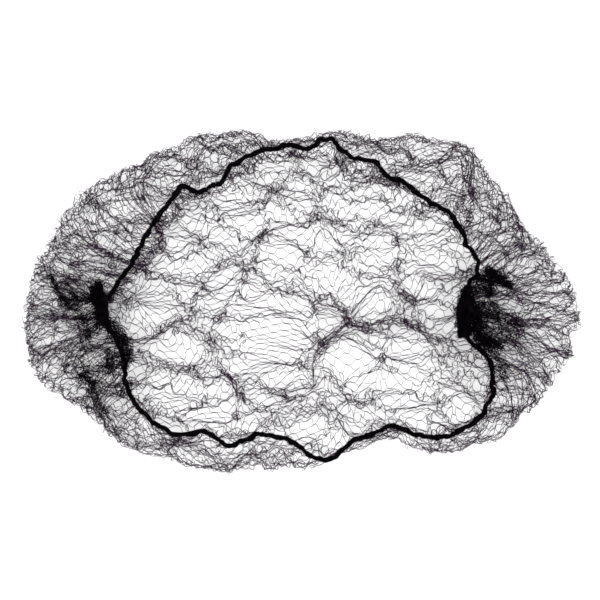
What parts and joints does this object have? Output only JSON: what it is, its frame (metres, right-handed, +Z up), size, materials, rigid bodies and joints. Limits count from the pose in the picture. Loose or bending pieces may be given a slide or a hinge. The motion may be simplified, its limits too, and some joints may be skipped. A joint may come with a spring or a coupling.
{
  "type": "hairnet",
  "caption": "Knitted mesh hairnet lying open side up: a shallow bag of coarse net gathered onto an elastic loop, with a drawn-up bunch of net on the loop at each end.",
  "frame": {"origin": "on the table, under the middle of the hairnet's outline", "axes": "+X along the hairnet's length from one gather to the other, +Y across it, +Z up through the head opening"},
  "size_m": [0.2182, 0.1344, 0.0204],
  "materials": {
    "nylon_net": "fine knitted black nylon, faint sheen",
    "covered_elastic": "matt black covered elastic, knobbly with stitches",
    "gathered_nylon": "dense puckered black nylon thread"
  },
  "bodies": {
    "root": {"net": "nylon_net", "elastic_loop": "covered_elastic", "left_gather": "gathered_nylon", "right_gather": "gathered_nylon"}
  },
  "joints": []
}
